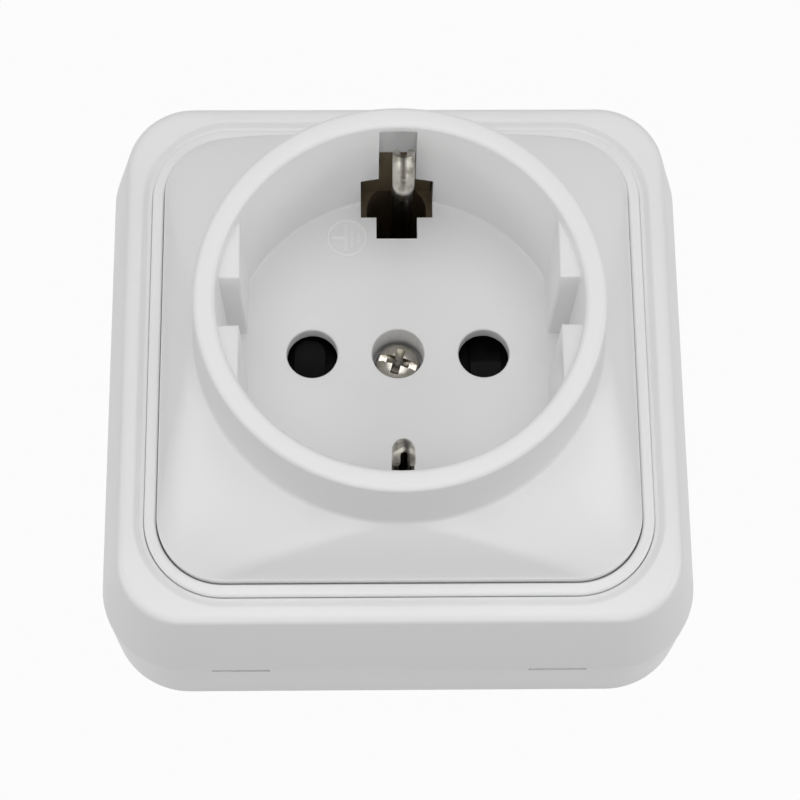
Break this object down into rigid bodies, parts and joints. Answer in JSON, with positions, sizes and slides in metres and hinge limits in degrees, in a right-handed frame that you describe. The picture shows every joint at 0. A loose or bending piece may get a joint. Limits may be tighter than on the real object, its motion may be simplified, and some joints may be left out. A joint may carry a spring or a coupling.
{
  "type": "surface mounted socket",
  "caption": "White surface mounted socket: square drafted frame, domed cover with a round plug well, side shoulders, rolled earth clips and a sprung shutter",
  "frame": {"origin": "middle of the back of the frame, in the plane of the wall", "axes": "+Z out of the wall towards the plug, +X to the right and +Y up the wall when seen from the front"},
  "size_m": [0.066, 0.066, 0.04],
  "materials": {
    "white_plastic": "smooth satin gloss",
    "grey_plastic": "matt moulded",
    "brown_phenolic": "pressed phenolic, slightly mottled",
    "black_plastic": "fine matt",
    "nickel": "nickel plated",
    "spring_steel": "bright drawn",
    "brass": "stamped"
  },
  "bodies": {
    "socket": {"cover_frame": "white_plastic", "trim_ring": "white_plastic", "socket_plate": "white_plastic", "base_plate": "grey_plastic", "contact_carrier": "brown_phenolic", "carrier_screws": "nickel", "centre_bush": "brass", "cover_screw": "nickel", "contact_left": "brass", "contact_right": "brass", "contact_spring_left": "spring_steel", "contact_spring_right": "spring_steel", "clamp_plate_left": "nickel", "clamp_plate_right": "nickel", "earth_clamp_plate": "nickel", "terminal_screw_left": "nickel", "terminal_screw_right": "nickel", "earth_screw": "nickel", "earth_strap": "brass", "earth_clip_upper": "nickel", "earth_clip_lower": "nickel", "earth_rivets": "brass", "shutter_spring": "spring_steel"},
    "shutter": {"shutter": "black_plastic"}
  },
  "joints": [
    {"name": "shutter_turn", "type": "hinge", "parent": "socket", "child": "shutter", "pos_m": [0, 0, 0.019], "axis": [0, 0, -1], "range_deg": [0, 40], "stiffness_Nm_per_rad": 0.004, "springref_deg": -9.74, "deforming": ["shutter_spring"]}
  ]
}
